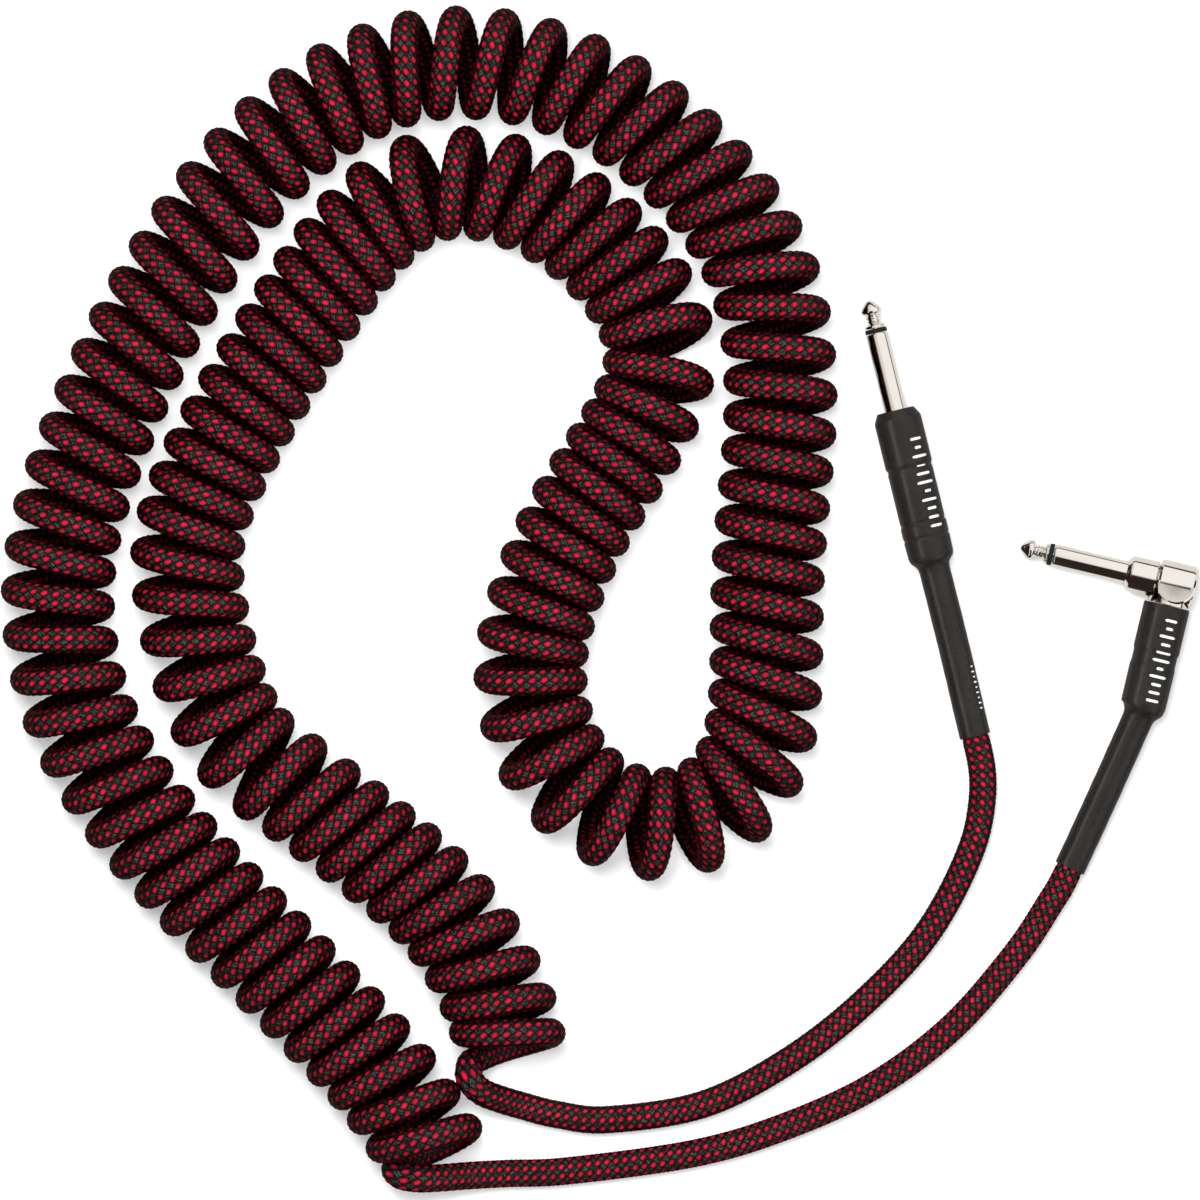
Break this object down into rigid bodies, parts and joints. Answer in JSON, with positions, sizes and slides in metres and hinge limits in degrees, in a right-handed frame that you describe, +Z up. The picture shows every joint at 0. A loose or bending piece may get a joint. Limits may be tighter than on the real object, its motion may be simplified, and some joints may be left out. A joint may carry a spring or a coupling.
{
  "type": "instrument cable",
  "caption": "Coiled instrument cable with a woven cover, a straight plug at one end and a right-angle plug at the other",
  "frame": {"origin": "middle of the underside of the whole cable as it lies, on the table", "axes": "+Z is up, away from the table; +X and +Y lie along the table, with the plugs at +X and the far loop of the coil at +Y"},
  "size_m": [0.337, 0.3326, 0.0324],
  "materials": {
    "woven_cover": "red strands woven over grey-black strands",
    "shrink_tube": "satin dark grey-black shrink tube",
    "nickel": "bright nickel plate on brass",
    "plain_brass": "plain stamped or turned brass",
    "solder": "dull solder, tin alloy",
    "copper_strands": "bare copper strands",
    "inner_jacket": "soft black jacket",
    "core_insulation": "foamed white insulation",
    "black_plastic": "hard black insulator",
    "clear_plastic": "milky clear tube"
  },
  "bodies": {
    "coil": {"coil_section_01": "woven_cover", "coil_section_02": "woven_cover", "coil_section_03": "woven_cover", "coil_section_04": "woven_cover", "coil_section_05": "woven_cover", "coil_section_06": "woven_cover"},
    "coil_a_end": {"coil_a_end_turns": "woven_cover"},
    "lead_a": {"lead_a_braid": "woven_cover", "lead_a_conductor": "copper_strands", "lead_a_core_insulation": "core_insulation", "lead_a_inner_jacket": "inner_jacket", "lead_a_shield": "copper_strands"},
    "straight_plug": {"plug_a_braid": "woven_cover", "plug_a_conductor": "copper_strands", "plug_a_core_insulation": "core_insulation", "plug_a_inner_jacket": "inner_jacket", "plug_a_shield": "copper_strands", "straight_barrel": "plain_brass", "straight_ground_clamp": "plain_brass", "straight_ground_solder": "solder", "straight_insulating_washer": "black_plastic", "straight_liner": "clear_plastic", "straight_rod_insulator": "clear_plastic", "straight_shield_pigtail": "copper_strands", "straight_shrink_boot": "shrink_tube", "straight_sleeve": "nickel", "straight_tip_contact": "nickel", "straight_tip_insulator": "black_plastic", "straight_tip_lug": "plain_brass", "straight_tip_solder": "solder"},
    "coil_b_tail": {"coil_b_tail_turns": "woven_cover"},
    "coil_b_end": {"coil_b_end_turns": "woven_cover"},
    "lead_b": {"lead_b_braid": "woven_cover", "lead_b_conductor": "copper_strands", "lead_b_core_insulation": "core_insulation", "lead_b_inner_jacket": "inner_jacket", "lead_b_shield": "copper_strands"},
    "lead_b_end": {"lead_b_tail": "woven_cover"},
    "angle_plug": {"angle_barrel": "plain_brass", "angle_collar": "nickel", "angle_elbow": "nickel", "angle_ground_clamp": "plain_brass", "angle_ground_solder": "solder", "angle_liner": "clear_plastic", "angle_rod_insulator": "clear_plastic", "angle_shield_pigtail": "copper_strands", "angle_shrink_boot": "shrink_tube", "angle_sleeve": "nickel", "angle_tip_contact": "nickel", "angle_tip_insulator": "black_plastic", "angle_tip_lug": "plain_brass", "angle_tip_solder": "solder", "plug_b_braid": "woven_cover", "plug_b_conductor": "copper_strands", "plug_b_core_insulation": "core_insulation", "plug_b_inner_jacket": "inner_jacket", "plug_b_shield": "copper_strands"}
  },
  "joints": [
    {"name": "coil_a_stretch", "type": "slide", "parent": "coil", "child": "coil_a_end", "axis": [0, 0, 1], "range_m": [0, 0.1]},
    {"name": "lead_a_lift", "type": "hinge", "parent": "coil_a_end", "child": "lead_a", "pos_m": [-0.02529, -0.1413, 0.01056], "axis": [-0.2995, -0.9541, 0], "range_deg": [0, 45]},
    {"name": "straight_plug_lift", "type": "hinge", "parent": "lead_a", "child": "straight_plug", "pos_m": [0.09885, -0.08276, 0.00802], "axis": [0.8844, -0.4667, 0], "range_deg": [0, 60]},
    {"name": "coil_b_swing", "type": "hinge", "parent": "coil", "child": "coil_b_tail", "pos_m": [-0.15701, -0.04735, 0.01623], "axis": [0, 0, 1], "range_deg": [-25, 0]},
    {"name": "coil_b_stretch", "type": "slide", "parent": "coil_b_tail", "child": "coil_b_end", "axis": [0.5798, -0.8147, 0], "range_m": [0, 0.1]},
    {"name": "lead_b_swing", "type": "hinge", "parent": "coil_b_end", "child": "lead_b", "pos_m": [-0.02823, -0.16546, 0.00466], "axis": [0, 0, 1], "range_deg": [-40, 0]},
    {"name": "angle_plug_swing", "type": "hinge", "parent": "lead_b", "child": "lead_b_end", "pos_m": [0.10548, -0.11965, 0.00402], "axis": [0, 0, 1], "range_deg": [-30, 0]},
    {"name": "angle_plug_twist", "type": "hinge", "parent": "lead_b_end", "child": "angle_plug", "pos_m": [0.13226, -0.07543, 0.00449], "axis": [0.4323, 0.901, 0.0363], "range_deg": [0, 90]}
  ]
}
